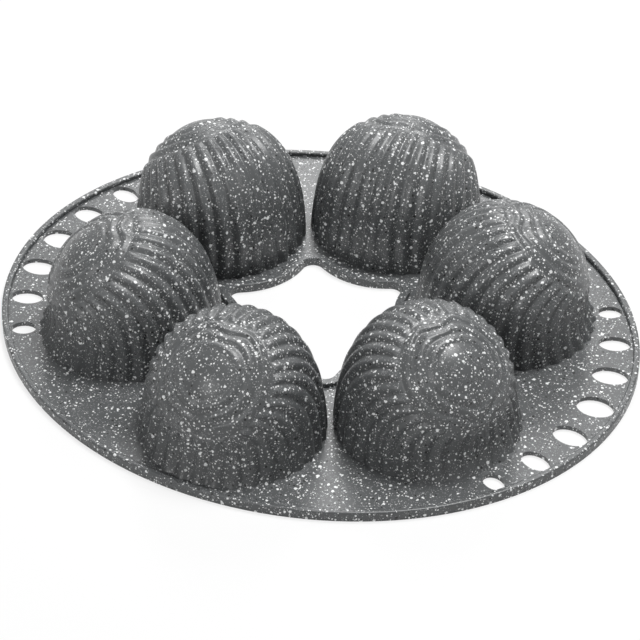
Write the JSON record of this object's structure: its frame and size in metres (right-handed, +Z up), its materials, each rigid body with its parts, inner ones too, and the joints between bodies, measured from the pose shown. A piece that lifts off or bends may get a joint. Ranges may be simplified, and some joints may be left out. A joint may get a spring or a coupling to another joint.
{
  "type": "cake pan",
  "caption": "Cast cake pan resting upside down: fluted domed cups in a ring on an oval plate with a raised rim, a star-shaped middle opening and grip slots at both ends.",
  "frame": {"origin": "middle of the pan on the surface that its rim rests on", "axes": "+X along the oval's long axis, through the middle of one group of grip slots; +Z up, towards the tops of the upturned cups"},
  "size_m": [0.3, 0.267, 0.0595],
  "materials": {
    "granite_coat": "satin dark grey non-stick coat with light and dark specks"
  },
  "bodies": {
    "root": {"base_plate": "granite_coat", "rim_bead": "granite_coat", "opening_lip": "granite_coat", "cup_1": "granite_coat", "cup_2": "granite_coat", "cup_3": "granite_coat", "cup_4": "granite_coat", "cup_5": "granite_coat", "cup_6": "granite_coat"}
  },
  "joints": []
}
